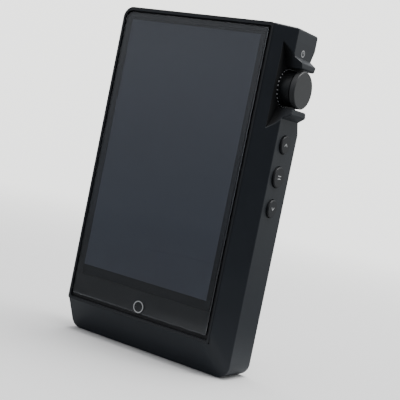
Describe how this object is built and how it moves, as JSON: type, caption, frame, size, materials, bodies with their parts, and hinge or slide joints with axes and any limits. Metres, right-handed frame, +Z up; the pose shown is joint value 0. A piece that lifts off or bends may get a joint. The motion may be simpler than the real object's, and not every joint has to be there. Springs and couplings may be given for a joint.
{
  "type": "digital audio player",
  "caption": "Pocket digital audio player: upright metal slab with a tall screen, a chamfered side with a recessed volume knob and three round keys, sockets above and below.",
  "frame": {"origin": "centre of the flat bottom of the case's width and depth", "axes": "+Z up the player's long side, -Y out of the screen, +X towards the side with the knob and keys"},
  "size_m": [0.073, 0.021, 0.121],
  "materials": {
    "case_metal": "sand-blasted black anodised",
    "bezel_metal": "fine satin black anodised",
    "frame_plastic": "matt black",
    "cover_glass": "polished, rounded edge",
    "mark_white": "light grey fill",
    "screen_dark": "unlit screen",
    "rear_glass": "black glass-like inlay",
    "knob_metal": "satin anodised",
    "polished_metal": "polished edges",
    "button_metal": "satin anodised",
    "steel": "plain",
    "black_plastic": "moulded",
    "tray_metal": "anodised",
    "board": "solder mask",
    "ribbon": "polyimide film",
    "parts_metal": "plain",
    "battery_wrap": "pouch foil",
    "soft_rubber": "soft"
  },
  "bodies": {
    "player": {"amplifier_chips": "black_plastic", "audio_board": "board", "audio_board_screws": "steel", "audio_capacitors": "parts_metal", "balanced_jack": "black_plastic", "balanced_ring": "polished_metal", "battery": "battery_wrap", "battery_pad": "soft_rubber", "board_connector": "black_plastic", "button_board": "board", "button_seals": "soft_rubber", "button_switches": "black_plastic", "card_socket": "steel", "clock_crystals": "parts_metal", "dac_chips": "black_plastic", "digital_port": "steel", "display_frame": "frame_plastic", "display_glass": "cover_glass", "display_panel": "screen_dark", "display_ribbon": "ribbon", "encoder_body": "black_plastic", "encoder_bushing": "steel", "encoder_nut": "steel", "front_bezel": "bezel_metal", "headphone_jack": "black_plastic", "headphone_ring": "polished_metal", "home_ring": "mark_white", "line_jack": "black_plastic", "line_ring": "polished_metal", "main_board": "board", "main_board_screws": "steel", "main_housing": "case_metal", "memory_chip": "black_plastic", "module_screws": "steel", "module_shell": "case_metal", "port_tongues": "black_plastic", "power_chip": "black_plastic", "power_icon": "mark_white", "power_inductors": "parts_metal", "processor": "black_plastic", "rear_cover": "case_metal", "rear_cover_screws": "steel", "rear_glass": "rear_glass", "shield_can": "steel", "usb_port": "steel", "wifi_antenna": "ribbon"},
    "push_stage": {"encoder_plunger": "black_plastic"},
    "volume_knob": {"knob_cap": "knob_metal", "knob_band": "polished_metal", "knob_sleeve": "knob_metal", "knurled_ring": "polished_metal", "encoder_shaft": "steel"},
    "skip_up_key": {"skip_up_button": "button_metal", "skip_up_icon": "mark_white"},
    "pause_key": {"pause_button": "button_metal", "pause_icon": "mark_white"},
    "skip_down_key": {"skip_down_button": "button_metal", "skip_down_icon": "mark_white"},
    "tray": {"card_tray": "tray_metal"}
  },
  "joints": [
    {"name": "knob_press", "type": "slide", "parent": "player", "child": "push_stage", "axis": [-1, 0, 0], "range_m": [0, 0.0004], "stiffness_N_per_m": 2500, "springref_m": -0.0004},
    {"name": "knob_turn", "type": "hinge", "parent": "push_stage", "child": "volume_knob", "pos_m": [0.038, 0.0014, 0.101], "axis": [1, 0, 0], "continuous": true},
    {"name": "skip_up_press", "type": "slide", "parent": "player", "child": "skip_up_key", "axis": [-1, 0, 0], "range_m": [0, 0.0004], "stiffness_N_per_m": 2500, "springref_m": -0.0004},
    {"name": "pause_press", "type": "slide", "parent": "player", "child": "pause_key", "axis": [-1, 0, 0], "range_m": [0, 0.0004], "stiffness_N_per_m": 2500, "springref_m": -0.0004},
    {"name": "skip_down_press", "type": "slide", "parent": "player", "child": "skip_down_key", "axis": [-1, 0, 0], "range_m": [0, 0.0004], "stiffness_N_per_m": 2500, "springref_m": -0.0004},
    {"name": "tray_pull", "type": "slide", "parent": "player", "child": "tray", "axis": [0, 0, -1], "range_m": [0, 0.02]}
  ]
}
